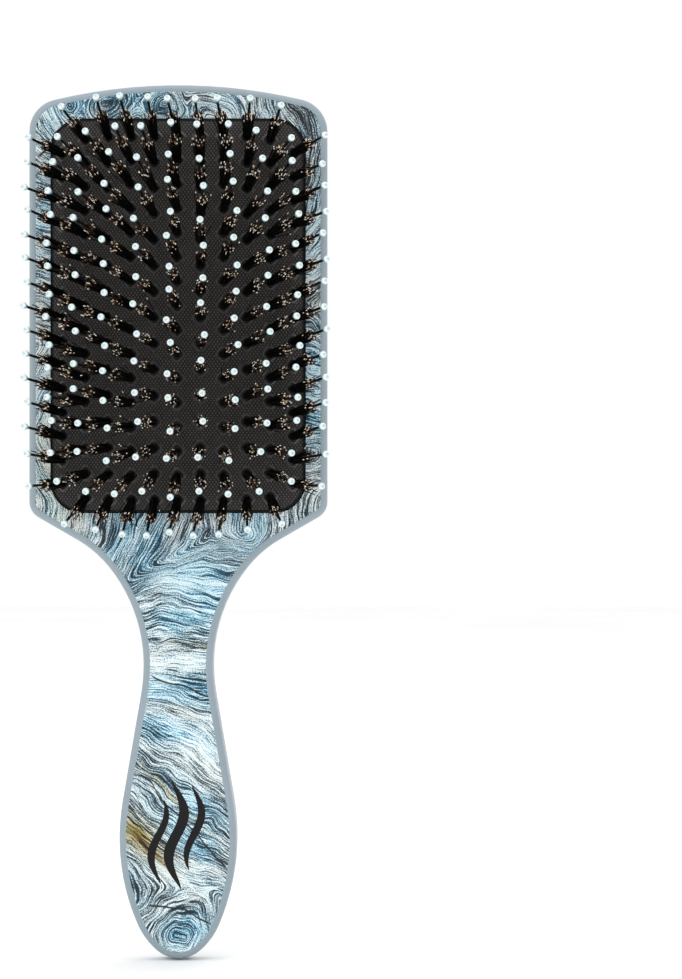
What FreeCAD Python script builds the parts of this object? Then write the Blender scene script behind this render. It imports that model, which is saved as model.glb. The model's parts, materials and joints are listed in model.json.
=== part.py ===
"""Paddle hairbrush: two hollow shells with printed faces, an air cushion, and tufts with ball-tipped pins.

The brush stands upright. X runs across the paddle, Z along its length towards the head, and the bristles
point along -Y. The flat back lies in the plane y = 0, and z = 0 is the middle of the cushion.
"""
import FreeCAD
import Part
import math
import os

from FreeCAD import Placement, Rotation, Vector

# ---------------------------------------------------------------- driving dimensions, in mm
SIZES = {
    # outline
    "head_end": 66.0,
    "handle_end": 184.0,
    "head_half_width": 42.6,
    "neck_half_width": 9.9,
    "grip_half_width": 16.7,
    "tip_radius": 9.3,
    "tip_side_radius": 20.0,
    "grip_upper_radius": 66.0,
    "neck_lower_radius": 50.0,
    "neck_upper_radius": 44.6,
    "shoulder_radius": 33.0,
    "lower_corner_radius": 5.1,
    "upper_corner_radius": 9.2,
    "head_top_radius": 153.0,
    # thickness, counted from the back
    "parting_height": 6.0,
    "front_height": 12.5,
    "palm_swell": 2.8,
    "palm_swell_start": 62.0,
    "palm_swell_length": 74.0,
    "palm_tip_radius": 210.0,
    "edge_radius": 1.8,
    # shells
    "side_wall": 2.2,
    "back_wall": 2.0,
    "front_wall": 2.0,
    "lap_height": 1.5,
    "lap_gap": 0.1,
    "rib_thickness": 1.4,
    "rib_spacing": 8.0,
    "rib_length": 88.0,
    "rib_middle": 126.6,
    "rib_height": 7.5,
    "print_border": 1.95,
    "print_thickness": 0.2,
    # cushion and its clamp
    "window_half_width": 36.45,
    "window_half_height": 56.35,
    "window_corner": 9.0,
    "window_gap": 0.4,
    "cushion_wall": 1.2,
    "cushion_edge": 0.8,
    "cushion_crown": 6.0,
    "flange_reach": 2.8,
    "flange_thickness": 1.5,
    "clamp_thickness": 2.0,
    "clamp_opening": 0.4,
    # tufts and pins, counted outwards from the cushion's surface
    "column_pitch": 6.55,
    "row_span": 103.2,
    "rows_middle": 0.9,
    "plug_head_radius": 1.8,
    "plug_head_thickness": 0.8,
    "plug_head_depth": 2.3,
    "plug_radius": 1.3,
    "plug_proud": 0.2,
    "plug_hole_radius": 1.4,
    "tuft_root_radius": 1.0,
    "tuft_root_depth": 1.2,
    "tuft_top_radius": 2.0,
    "tuft_reach": 12.4,
    "pin_radius": 0.375,
    "pin_depth": 2.7,
    "pin_reach": 20.6,
    "ball_radius": 1.0,
    "ball_length": 2.5,
    "ball_neck_radius": 0.55,
    "ball_socket": 1.4,
}
TIP_TURN = 39.8          # degrees that the handle's end turns on tip_radius
TIP_SIDE_TURN = 26.7     # and then on tip_side_radius
GRIP_TAPER = 9.7         # degrees between the grip's sides and the brush's axis, below the neck
NECK_FLARE = 38.8        # the same above the neck, where neck_upper_radius ends
SHOULDER_TURN = 60.0     # and along the paddle's straight lower edges
OUTER_COLUMN = 5         # columns on each side of the middle one
LONG_ROWS = 16           # tufts in every second column, the rest have one fewer
OUTER_SHORTER = 0.09     # how much shorter the outermost columns are, as a share of row_span

# lean of the pins, in mm per mm of their length
FAN_ACROSS = 0.47        # sideways, in the outermost columns
FAN_ALONG = 0.49         # along the brush, in the end rows
FAN_TO_HEAD = 0.14       # towards the head, in the middle rows
FAN_ASIDE = 0.08         # to the left, in the middle columns
UNEVENNESS = 0.03        # of single pins, off the even fan

BALL_JOINED = 0.25       # how far below a ball's middle its neck starts, as a share of its radius

doc = FreeCAD.newDocument("paddle_brush")
sheet = doc.addObject("Spreadsheet::Sheet", "sizes")
for line, (alias, value) in enumerate(SIZES.items(), start=1):
    sheet.set(f"A{line}", alias)
    sheet.set(f"B{line}", str(value))
    sheet.setAlias(f"B{line}", alias)
doc.recompute()
subparts = []


def size(alias):
    """One driving dimension, read from the sheet."""
    return float(sheet.get(alias))


def subpart(piece, label):
    """Marks a finished piece of the brush and gives it the name that its file gets."""
    piece.Label = label
    subparts.append(piece)
    return piece


# ---------------------------------------------------------------- outlines
class Path:
    """Straight lines and tangent arcs, drawn by walking along them with the material on the left.

    An inset moves the whole line into the material, and a negative one moves it out.
    """

    def __init__(self, x, y, heading, inset=0.0):
        self.heading = heading
        self.inset = inset
        self.at = Vector(x, y, 0) + self.left() * inset
        self.edges = []

    def left(self):
        angle = math.radians(self.heading)
        return Vector(-math.sin(angle), math.cos(angle), 0)

    def line(self, length):
        start = self.at
        angle = math.radians(self.heading)
        self.at = start + Vector(math.cos(angle), math.sin(angle), 0) * length
        self.edges.append((start, self.at))

    def line_to(self, x, y):
        self.edges.append((self.at, Vector(x, y, 0)))
        self.at = Vector(x, y, 0)

    def arc(self, radius, turn):
        """Turns by that many degrees, to the left if turn is positive."""
        side = math.copysign(1, turn)
        centre = self.at + self.left() * (side * radius - self.inset)
        start = self.at
        middle, self.at = (
            centre + Rotation(Vector(0, 0, 1), angle).multVec(start - centre) for angle in (turn / 2, turn)
        )
        self.heading += turn
        self.edges.append((start, middle, self.at))

    def curves(self):
        return [Part.Arc(*edge) if len(edge) == 3 else Part.LineSegment(*edge) for edge in self.edges]


def sine(angle):
    return math.sin(math.radians(angle))


def drift(turn):
    """How far an arc of radius 1 wanders sideways while it turns away from the brush's axis."""
    return 1 - math.cos(math.radians(turn))


def brush_outline(inset=0.0):
    """The brush seen from the front, from the handle's end up the right side and down the left."""
    grip = size("grip_half_width")
    neck = size("neck_half_width")
    head = size("head_half_width")

    tip_turn = TIP_TURN + TIP_SIDE_TURN
    tip_width = size("tip_radius") * sine(TIP_TURN)
    tip_width += size("tip_side_radius") * (sine(tip_turn) - sine(TIP_TURN))
    grip_lower_radius = (grip - tip_width) / (1 - sine(tip_turn))
    grip_arcs = (size("grip_upper_radius") + size("neck_lower_radius")) * drift(GRIP_TAPER)
    taper_length = (grip - neck - grip_arcs) / sine(GRIP_TAPER)
    flare_width = (
        size("neck_upper_radius") * drift(NECK_FLARE)
        + size("shoulder_radius") * (drift(SHOULDER_TURN) - drift(NECK_FLARE))
        + size("lower_corner_radius") * drift(SHOULDER_TURN)
    )
    shoulder_length = (head - neck - flare_width) / sine(SHOULDER_TURN)
    top = size("head_top_radius")
    corner = size("upper_corner_radius")
    top_turn = math.degrees(math.asin((head - corner) / (top - corner)))
    corner_z = size("head_end") - top + (top - corner) * math.cos(math.radians(top_turn))

    path = Path(0, -size("handle_end"), 0, inset)
    path.arc(size("tip_radius"), TIP_TURN)
    path.arc(size("tip_side_radius"), TIP_SIDE_TURN)
    path.arc(grip_lower_radius, 90 - tip_turn)
    path.arc(size("grip_upper_radius"), GRIP_TAPER)
    path.line(taper_length)
    path.arc(size("neck_lower_radius"), -GRIP_TAPER)
    path.arc(size("neck_upper_radius"), -NECK_FLARE)
    path.arc(size("shoulder_radius"), NECK_FLARE - SHOULDER_TURN)
    path.line(shoulder_length)
    path.arc(size("lower_corner_radius"), SHOULDER_TURN)
    path.line(corner_z - path.at.y)
    path.arc(corner, 90 - top_turn)
    path.arc(top, top_turn)
    path.edges += [
        tuple(Vector(-point.x, point.y, 0) for point in reversed(edge)) for edge in reversed(path.edges)
    ]
    return path.curves()


def window_outline(growth=0.0):
    """The cushion's window in the front shell, made larger all round by growth."""
    half_width = size("window_half_width")
    half_height = size("window_half_height")
    corner = size("window_corner")
    path = Path(corner - half_width, -half_height, 0, -growth)
    for half_side in (half_width, half_height, half_width, half_height):
        path.line(2 * (half_side - corner))
        path.arc(corner, 90)
    return path.curves()


def rectangle(x, y, width, height):
    """A rectangle about the point x, y."""
    path = Path(x - width / 2, y - height / 2, 0)
    path.line_to(x + width / 2, y - height / 2)
    path.line_to(x + width / 2, y + height / 2)
    path.line_to(x - width / 2, y + height / 2)
    path.line_to(x - width / 2, y - height / 2)
    return path.curves()


def side_region(inset, far):
    """Seen from the side: all that lies between the front surface, moved in by inset, and y = far.

    The front is flat on the paddle. It swells out to the palm and falls back to the handle's end.
    """
    overrun = 10.0
    rise = size("palm_swell")
    length = size("palm_swell_length")
    turn = 2 * math.degrees(math.atan(rise / length))
    radius = length / (2 * sine(turn))
    path = Path(-size("front_height"), size("head_end") + overrun, -90, inset)
    path.line(size("head_end") + overrun + size("palm_swell_start"))
    path.arc(radius, -turn)
    path.arc(radius, turn)
    swell_end = size("palm_swell_start") + length
    end_turn = math.degrees(math.asin((size("handle_end") + overrun - swell_end) / size("palm_tip_radius")))
    path.arc(size("palm_tip_radius"), end_turn)
    path.line_to(far, path.at.y)
    path.line_to(far, size("head_end") + overrun)
    path.line_to(inset - size("front_height"), size("head_end") + overrun)
    return path.curves()


# ---------------------------------------------------------------- solids drawn from sketches
def sketch_on(body, role, curves, height="0"):
    """A sketch on one of the body's own planes, raised off it by height."""
    plane = next(feature for feature in body.Origin.OriginFeatures if feature.Role == role)
    drawing = body.newObject("Sketcher::SketchObject", body.Name + "_sketch")
    drawing.AttachmentSupport = [(plane, "")]
    drawing.MapMode = "FlatFace"
    drawing.setExpression("AttachmentOffset.Base.z", height)
    drawing.addGeometry(curves, False)
    return drawing


def new_body(name):
    return doc.addObject("PartDesign::Body", name)


def pad(body, curves, start, length):
    """Adds a slab over an outline, from a height above the back towards the bristles."""
    feature = body.newObject("PartDesign::Pad", body.Name + "_pad")
    feature.Profile = sketch_on(body, "XZ_Plane", curves, start)
    feature.setExpression("Length", length)
    doc.recompute()
    return feature


def pocket(body, curves, start, length, outwards):
    """Cuts an outline from a height above the back, towards the bristles or else towards the back."""
    before = body.Shape.Volume
    feature = body.newObject("PartDesign::Pocket", body.Name + "_pocket")
    feature.Profile = sketch_on(body, "XZ_Plane", curves, start)
    feature.setExpression("Length", length)
    feature.Reversed = outwards
    doc.recompute()
    assert body.Shape.Volume < before, feature.Name
    return feature


def trim(body, inset, far):
    """Cuts away all that side_region holds, right across the brush."""
    before = body.Shape.Volume
    feature = body.newObject("PartDesign::Pocket", body.Name + "_trim")
    feature.Profile = sketch_on(body, "YZ_Plane", side_region(inset, far))
    feature.Type = "ThroughAll"
    feature.Midplane = True
    doc.recompute()
    assert body.Shape.Volume < before, feature.Name
    return feature


def round_rim(body, feature, at_rim):
    """Rounds the edges of a feature that at_rim picks."""
    edges = [f"Edge{n}" for n, edge in enumerate(feature.Shape.Edges, start=1) if at_rim(edge)]
    fillet = body.newObject("PartDesign::Fillet", body.Name + "_fillet")
    fillet.Base = (feature, edges)
    fillet.setExpression("Radius", "sizes.edge_radius")
    doc.recompute()
    return fillet


def fuse(name, pieces):
    result = doc.addObject("Part::MultiFuse", name)
    result.Shapes = pieces
    doc.recompute()
    return result


def cut(name, base, tool):
    result = doc.addObject("Part::Cut", name)
    result.Base = base
    result.Tool = tool
    doc.recompute()
    return result


def common(name, base, tool):
    result = doc.addObject("Part::Common", name)
    result.Base = base
    result.Tool = tool
    doc.recompute()
    return result


# ---------------------------------------------------------------- heights inside the head
CUSHION_SEAT = "(sizes.front_height - sizes.front_wall)"
FLANGE_BACK = f"({CUSHION_SEAT} - sizes.flange_thickness)"
CLAMP_BACK = f"({FLANGE_BACK} - sizes.clamp_thickness)"
FAR_BEHIND = 20.0
FAR_IN_FRONT = -60.0


def back_shell():
    """A tray with a lap joint round its rim, a wall under the cushion's clamp and two ribs in the grip."""
    body = new_body("back_shell_body")
    slab = pad(body, brush_outline(), "0", "sizes.parting_height")
    round_rim(body, slab, lambda edge: edge.BoundBox.YMin > -0.01)
    pocket(body, brush_outline(size("print_border")), "0", "sizes.print_thickness", outwards=True)
    inside = brush_outline(size("side_wall"))
    depth = "sizes.parting_height - sizes.back_wall"
    pocket(body, inside, "sizes.parting_height", depth, outwards=False)
    lap = brush_outline(size("side_wall") / 2 + size("lap_gap"))
    pad(body, lap + inside, "sizes.parting_height", "sizes.lap_height")
    reach = size("flange_reach")
    wall = window_outline(reach) + window_outline(reach - size("rib_thickness"))
    pad(body, wall, "sizes.back_wall", f"{CLAMP_BACK} - sizes.back_wall")
    for side in (-1, 1):
        rib_x = side * size("rib_spacing") / 2
        rib = rectangle(rib_x, -size("rib_middle"), size("rib_thickness"), size("rib_length"))
        pad(body, rib, "sizes.back_wall", "sizes.rib_height - sizes.back_wall")
    return subpart(body, "back_shell")


def back_print_film():
    """The printed film that lies flush in the back shell."""
    body = new_body("back_print_film_body")
    pad(body, brush_outline(size("print_border")), "0", "sizes.print_thickness")
    return subpart(body, "back_print_film")


def front_print_film():
    """The printed film on the front, which follows the swell of the grip and goes round the window."""
    body = new_body("front_print_film_body")
    outline = brush_outline(size("print_border")) + window_outline()
    pad(body, outline, "sizes.parting_height", "sizes.front_height")
    trim(body, 0.0, FAR_IN_FRONT)
    trim(body, size("print_thickness"), FAR_BEHIND)
    return subpart(body, "front_print_film")


def front_shell(film):
    """A hollow cover with the cushion's window and a rabbet that takes the back shell's lap."""
    blank = new_body("front_blank")
    pad(blank, brush_outline(), "sizes.parting_height", "sizes.front_height")
    front = trim(blank, 0.0, FAR_IN_FRONT)
    level = size("parting_height") + size("edge_radius")

    def at_rim(edge):
        box = edge.BoundBox
        return box.YMax < -level and not (box.XLength < 0.001 and box.ZLength < 0.001)

    round_rim(blank, front, at_rim)
    hollow = new_body("front_hollow")
    pad(hollow, brush_outline(size("side_wall")), "sizes.parting_height", "sizes.front_height")
    trim(hollow, size("front_wall"), FAR_IN_FRONT)
    rabbet = new_body("front_rabbet")
    rabbet_outline = brush_outline(size("side_wall") / 2)
    pad(rabbet, rabbet_outline, "sizes.parting_height", "sizes.lap_height + sizes.lap_gap")
    window = new_body("front_window")
    pad(window, window_outline(), "sizes.parting_height", "sizes.front_height")
    hollowed = cut("front_hollowed", blank, fuse("front_inside", [hollow, rabbet, window]))
    return subpart(cut("front_seated", hollowed, film), "front_shell")


def pad_clamp_frame():
    """The ring that presses the cushion's flange against the front shell."""
    body = new_body("pad_clamp_frame_body")
    ring = window_outline(size("flange_reach")) + window_outline(size("clamp_opening"))
    pad(body, ring, CLAMP_BACK, "sizes.clamp_thickness")
    return subpart(body, "pad_clamp_frame")


# ---------------------------------------------------------------- cushion, tufts and pins
def cushion_height(x, z):
    """Height of the cushion's surface above the back: a crown that falls to a low edge all round."""
    across = 1 - abs(x / size("window_half_width")) ** 2.5
    along = 1 - (z / size("window_half_height")) ** 4
    return size("front_height") + size("cushion_edge") + size("cushion_crown") * across * along


def below_cushion_surface(name, sink):
    """A block that ends at the cushion's surface, moved back by sink."""
    overrun = 1.08
    steps = 24
    rows = []
    for i in range(steps + 1):
        x = overrun * size("window_half_width") * (2 * i / steps - 1)
        heights = []
        for j in range(steps + 1):
            z = overrun * size("window_half_height") * (2 * j / steps - 1)
            heights.append(Vector(x, sink - cushion_height(x, z), z))
        rows.append(heights)
    surface = Part.BSplineSurface()
    surface.interpolate(rows)
    block = doc.addObject("Part::Feature", name)
    block.Shape = surface.toShape().extrude(Vector(0, FAR_BEHIND, 0))
    return block


def tuft_places():
    """For each column, the point on the cushion and the direction of each tuft."""
    columns = []
    for column in range(-OUTER_COLUMN, OUTER_COLUMN + 1):
        x = column * size("column_pitch")
        rows = LONG_ROWS - abs(column) % 2
        span = size("row_span") * (1 - OUTER_SHORTER * (column / OUTER_COLUMN) ** 8)
        places = []
        for row in range(rows):
            z = (row / (rows - 1) - 0.5) * span - size("rows_middle")
            places.append((Vector(x, -cushion_height(x, z), z), tuft_lean(x, z, row)))
        columns.append(places)
    return columns


def tuft_lean(x, z, row):
    """The tufts fan out all round, from the middle of the cushion, and no two stand quite alike.

    The sides lean along the brush only near the corners, and the ends lean sideways only there.
    """
    across = x / (OUTER_COLUMN * size("column_pitch"))
    along = 2 * (z + size("rows_middle")) / size("row_span")
    at_side = across**4
    at_end = along**4
    fan_x = math.sin(math.pi / 2 * across) * (1 - at_end) + 0.9 * across**3 * at_end
    fan_z = (0.4 * along + 0.6 * along**3) * (1 - at_side) + 0.5 * along**9 * at_side
    lean_x = FAN_ACROSS * fan_x - FAN_ASIDE * (1 - across**2)
    lean_z = FAN_ALONG * fan_z + FAN_TO_HEAD * (1 - along**6)
    lean_x += UNEVENNESS * math.sin(2.4 * row + 1.9 * x)
    lean_z += UNEVENNESS * math.cos(3.1 * row - 1.3 * x)
    return Vector(lean_x, -math.sqrt(1 - lean_x**2 - lean_z**2), lean_z)


def rod(name, radius, start, end):
    """A cylinder on the tuft's axis, between two heights above the cushion's surface."""
    piece = doc.addObject("Part::Cylinder", name)
    piece.setExpression("Radius", radius)
    piece.setExpression("Height", f"({end}) - ({start})")
    piece.setExpression("Placement.Base.z", start)
    return piece


def cone(name, start_radius, end_radius, start, end):
    piece = doc.addObject("Part::Cone", name)
    piece.setExpression("Radius1", start_radius)
    piece.setExpression("Radius2", end_radius)
    piece.setExpression("Height", f"({end}) - ({start})")
    piece.setExpression("Placement.Base.z", start)
    return piece


def plug_pattern():
    """The plug that holds one tuft: a head behind the cushion and a barrel through it."""
    head_end = "-sizes.plug_head_depth - sizes.plug_head_thickness"
    head = rod("plug_head", "sizes.plug_head_radius", head_end, "-sizes.plug_head_depth")
    barrel = rod("plug_barrel", "sizes.plug_radius", "-sizes.plug_head_depth", "sizes.plug_proud")
    bore = rod("plug_bore", "sizes.tuft_root_radius", "-sizes.tuft_root_depth", "sizes.plug_proud")
    pin_hole = rod("plug_pin_hole", "sizes.pin_radius", "-sizes.pin_depth", "-sizes.tuft_root_depth")
    return cut("plug", fuse("plug_solid", [head, barrel]), fuse("plug_holes", [bore, pin_hole]))


def tuft_pattern():
    """The outer shape of one tuft of bristles, with the pin's way through its middle."""
    root = rod("tuft_root", "sizes.tuft_root_radius", "-sizes.tuft_root_depth", "sizes.plug_proud")
    flare = ("sizes.tuft_root_radius", "sizes.tuft_top_radius", "sizes.plug_proud", "sizes.tuft_reach")
    pin_way = rod("tuft_pin_way", "sizes.pin_radius", "-sizes.tuft_root_depth", "sizes.tuft_reach")
    return cut("tuft", fuse("tuft_solid", [root, cone("tuft_flare", *flare)]), pin_way)


def shaft_pattern():
    top = "sizes.pin_reach - sizes.ball_length + sizes.ball_socket"
    return rod("shaft", "sizes.pin_radius", "-sizes.pin_depth", top)


def ball_pattern():
    """The drop-shaped tip of one pin, with the socket for the shaft."""
    ball = doc.addObject("Part::Sphere", "ball_sphere")
    ball.setExpression("Radius", "sizes.ball_radius")
    ball.setExpression("Placement.Base.z", "sizes.pin_reach - sizes.ball_radius")
    foot = "sizes.pin_reach - sizes.ball_length"
    joined = f"sizes.pin_reach - (1 + {BALL_JOINED}) * sizes.ball_radius"
    joined_radius = f"sqrt(1 - {BALL_JOINED}^2) * sizes.ball_radius"
    neck = cone("ball_neck", "sizes.ball_neck_radius", joined_radius, foot, joined)
    socket = rod("ball_socket_rod", "sizes.pin_radius", foot, f"{foot} + sizes.ball_socket")
    return cut("ball", fuse("ball_solid", [ball, neck]), socket)


def copies(name, pattern, places):
    """One copy of a pattern at each place, turned so that its axis follows the tuft."""
    shapes = []
    for point, lean in places:
        shape = pattern.Shape.copy()
        shape.Placement = Placement(point, Rotation(Vector(0, 0, 1), lean)).multiply(shape.Placement)
        shapes.append(shape)
    group = doc.addObject("Part::Feature", name)
    group.Shape = Part.makeCompound(shapes)
    return group


def cushion_pad(places):
    """The rubber skin: a flange under the front shell, a low edge in the window and a crown with holes."""
    flange = new_body("cushion_flange")
    pad(flange, window_outline(size("flange_reach")), FLANGE_BACK, "sizes.flange_thickness")
    block = new_body("cushion_block")
    pad(block, window_outline(-size("window_gap")), FLANGE_BACK, "2 * sizes.front_height")
    rise = common("cushion_rise", block, below_cushion_surface("cushion_outer", 0))
    core = new_body("cushion_core")
    core_inset = size("window_gap") + size("cushion_wall")
    pad(core, window_outline(-core_inset), FLANGE_BACK, "2 * sizes.front_height")
    inner = below_cushion_surface("cushion_inner", size("cushion_wall"))
    air = common("cushion_air", core, inner)
    skin = cut("cushion_skin", fuse("cushion_full", [flange, rise]), air)
    hole = rod("plug_hole", "sizes.plug_hole_radius", "-2 * sizes.cushion_wall", "2 * sizes.cushion_wall")
    doc.recompute()
    holes = copies("cushion_holes", hole, places)
    return subpart(cut("cushion_drilled", skin, holes), "cushion_pad")


def tuft_columns(columns):
    """Plugs, tufts, shafts and ball tips, each kind in one group per column."""
    patterns = {
        "tuft_anchors": plug_pattern(),
        "bristle_tufts": tuft_pattern(),
        "pin_shafts": shaft_pattern(),
        "pin_tips": ball_pattern(),
    }
    doc.recompute()
    for number, places in enumerate(columns, start=1):
        for kind, pattern in patterns.items():
            name = f"{kind}_column_{number:02d}"
            subpart(copies(name + "_group", pattern, places), name)


# ---------------------------------------------------------------- the whole brush
columns = tuft_places()
back_shell()
back_print_film()
front_shell(front_print_film())
pad_clamp_frame()
cushion_pad([place for places in columns for place in places])
tuft_columns(columns)
doc.recompute()

faults = [item.Name for item in doc.Objects if "Invalid" in item.State or "Error" in item.State]
faults += [piece.Label for piece in subparts if piece.Shape.isNull() or not piece.Shape.isValid()]
if faults:
    raise SystemExit(f"failed: {faults}")

os.makedirs("parts", exist_ok=True)
for piece in subparts:
    shape = piece.Shape
    shape.exportStep(os.path.join("parts", piece.Label + ".step"))
    print(f"{piece.Label}: {len(shape.Solids)} solids, {shape.Volume:.1f} mm3")
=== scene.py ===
"""The looks of the paddle hairbrush: printed films, plastic shells, rubber cushion, bristles and pins."""
import json
import math
import random

import bpy
import numpy as np
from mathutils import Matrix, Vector
from mathutils.bvhtree import BVHTree

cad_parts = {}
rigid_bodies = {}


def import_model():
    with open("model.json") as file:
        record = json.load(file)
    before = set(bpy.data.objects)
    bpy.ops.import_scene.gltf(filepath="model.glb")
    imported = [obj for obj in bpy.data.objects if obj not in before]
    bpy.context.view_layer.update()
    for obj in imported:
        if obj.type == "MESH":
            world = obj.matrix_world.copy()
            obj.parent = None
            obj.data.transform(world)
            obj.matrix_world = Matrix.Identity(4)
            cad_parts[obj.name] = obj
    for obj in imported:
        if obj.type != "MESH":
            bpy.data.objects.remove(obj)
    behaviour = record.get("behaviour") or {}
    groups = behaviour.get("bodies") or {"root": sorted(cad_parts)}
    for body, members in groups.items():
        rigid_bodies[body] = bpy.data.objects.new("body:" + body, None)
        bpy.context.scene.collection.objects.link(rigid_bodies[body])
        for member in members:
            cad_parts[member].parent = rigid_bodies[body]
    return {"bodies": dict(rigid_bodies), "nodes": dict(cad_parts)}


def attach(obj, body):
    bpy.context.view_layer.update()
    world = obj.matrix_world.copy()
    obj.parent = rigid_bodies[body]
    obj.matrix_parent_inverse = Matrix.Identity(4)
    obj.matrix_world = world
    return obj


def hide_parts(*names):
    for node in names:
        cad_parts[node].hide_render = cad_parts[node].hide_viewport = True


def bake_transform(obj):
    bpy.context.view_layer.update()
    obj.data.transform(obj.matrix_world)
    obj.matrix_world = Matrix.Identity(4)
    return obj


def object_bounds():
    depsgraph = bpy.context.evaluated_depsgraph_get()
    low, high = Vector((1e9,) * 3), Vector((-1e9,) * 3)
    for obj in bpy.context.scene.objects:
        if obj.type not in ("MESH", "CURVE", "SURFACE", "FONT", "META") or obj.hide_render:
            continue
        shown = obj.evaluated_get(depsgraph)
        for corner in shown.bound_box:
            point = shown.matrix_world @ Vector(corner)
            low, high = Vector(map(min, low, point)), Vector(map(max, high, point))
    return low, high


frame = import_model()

cad_box = [list(corner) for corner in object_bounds()]
MM = 0.001
COLUMNS = [body for body in frame["bodies"] if body.startswith("column_")]

# ---------------------------------------------------------------- sizes
FRONT = -12.5 * MM               # the front face of the shells, where the cushion's window opens
PARTING_HEIGHT = 6.0 * MM        # where the shells meet, in front of the back
SEAM_HALF_WIDTH = 0.06 * MM
WINDOW_HALF_WIDTH = 36.05 * MM
WINDOW_HALF_HEIGHT = 55.95 * MM
WINDOW_CORNER = 8.6 * MM
WINDOW_GAP = 0.4 * MM
BORDER_SHADOW = 0.5 * MM         # how wide the painted black shade of the window's gap reaches inside the cushion's outline

CUSHION_EDGE = 0.8 * MM          # how far the cushion's edge stands in front of the shell
CUSHION_CROWN = 6.0 * MM         # and how much further its middle stands out
CROWN_POWERS = (2.5, 4)          # how flat the crown is across and along: more is flatter
CORNER_STEPS = 12
SIDE_STEPS = 60
DOME_RINGS = 60
DOME_LIP = [(0.0, 0.25), (0.02, 0.6), (0.02, 1.6)]     # rings (further out, further back), in mm
DOT_PITCH = 0.8 * MM
DOT_ROWS_TILT = 35               # degrees

# The lips round the tufts, from outside to inside: (radius, height over the cushion), in mm.
COLLAR_PROFILE = [(2.5, -0.10), (2.2, 0.06), (1.9, 0.30), (1.7, 0.36), (1.45, 0.24), (1.3, -0.4)]
COLLAR_SIDES = 24
COLLAR_SQUARENESS = 0.09         # how much wider a lip is at its four corners
PLUG_DEPTH = 1.2 * MM            # how far a tuft's foot stands behind the cushion's surface

HAIRS = 44
HAIR_RADIUS = 0.15 * MM
HAIR_SIDES = 4
HAIR_RINGS = (0.0, 0.35, 0.7, 0.93, 0.96, 1.0)     # shares of the hair's length
HAIR_REACH = (0.80, 1.02)        # the shortest and the longest hair, as shares of the tuft's length
HAIR_BOW = 1.2                   # 1 is a straight hair, more bows outwards near its end
HAIR_WANDER = 0.35 * MM          # how far a hair's end strays sideways
TUFT_ROOT = 1.05 * MM            # the tuft's radius at its foot
TUFT_SPREAD = 1.75 * MM          # and at its end
SPREAD_RANGE = (0.8, 1.15)       # shares of that spread, from hair to hair
STRAY_SHARE = 0.05               # the share of hairs that stick out
STRAY_SPREAD = 1.9               # and how much further they do
GOLDEN_ANGLE = 2.39996           # radians from one hair to the next round the tuft
ANGLE_JITTER = 0.3

BALL_RADIUS = 1.0 * MM
TIP_FOOT_RADIUS = 0.55 * MM
TIP_TURNS = (12, 22, 30, 38, 48, 60, 74, 90, 105)     # degrees round the ball from its end
TIP_SIDES = 16

# Strands of the emblem: (across, along, length, half width), in mm.
STRANDS = [(-5.4, -150.0, 24.0, 1.15), (-0.4, -148.0, 31.0, 1.6), (4.6, -146.0, 24.0, 1.15)]
STRAND_STEPS = 60
STRAND_TAPER = 0.7
STRAND_END = 0.05                # half width at the ends, in mm
WAVE = (2.2, 26.0, -148.0)       # height and length of the strands' waves and where one starts, in mm
INK_LIFT = 0.03 * MM

FLOOR_HALF_SIZE = 3.0            # in m
FLOOR_GAP = 0.5 * MM
# Lights: name, place in m, diameter in m and power in W.
LIGHTS = [
    ("key", (-0.9, -1.3, 1.1), 0.9, 5),
    ("top", (0.2, -0.2, 1.6), 1.2, 5),
    ("rear", (0.8, 1.4, 0.9), 0.9, 4),
]
CAMERA_DISTANCE = 1.0            # in front of the shells, in m
CAMERA_ACROSS = 46.5 * MM
CAMERA_ALONG = -49.6 * MM
FRAME_HEIGHT = 279.5 * MM        # how much of the shells' front face the frame takes in from top to bottom
SENSOR_SIZE = 36
CLIP_START = 0.01


# ---------------------------------------------------------------- node graphs
def srgb(red, green, blue):
    """A colour given in 0-255 display values, as Blender's linear RGBA."""
    shares = [value / 255 for value in (red, green, blue)]
    linear = [share / 12.92 if share <= 0.04045 else ((share + 0.055) / 1.055) ** 2.4 for share in shares]
    return (*linear, 1.0)


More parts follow.
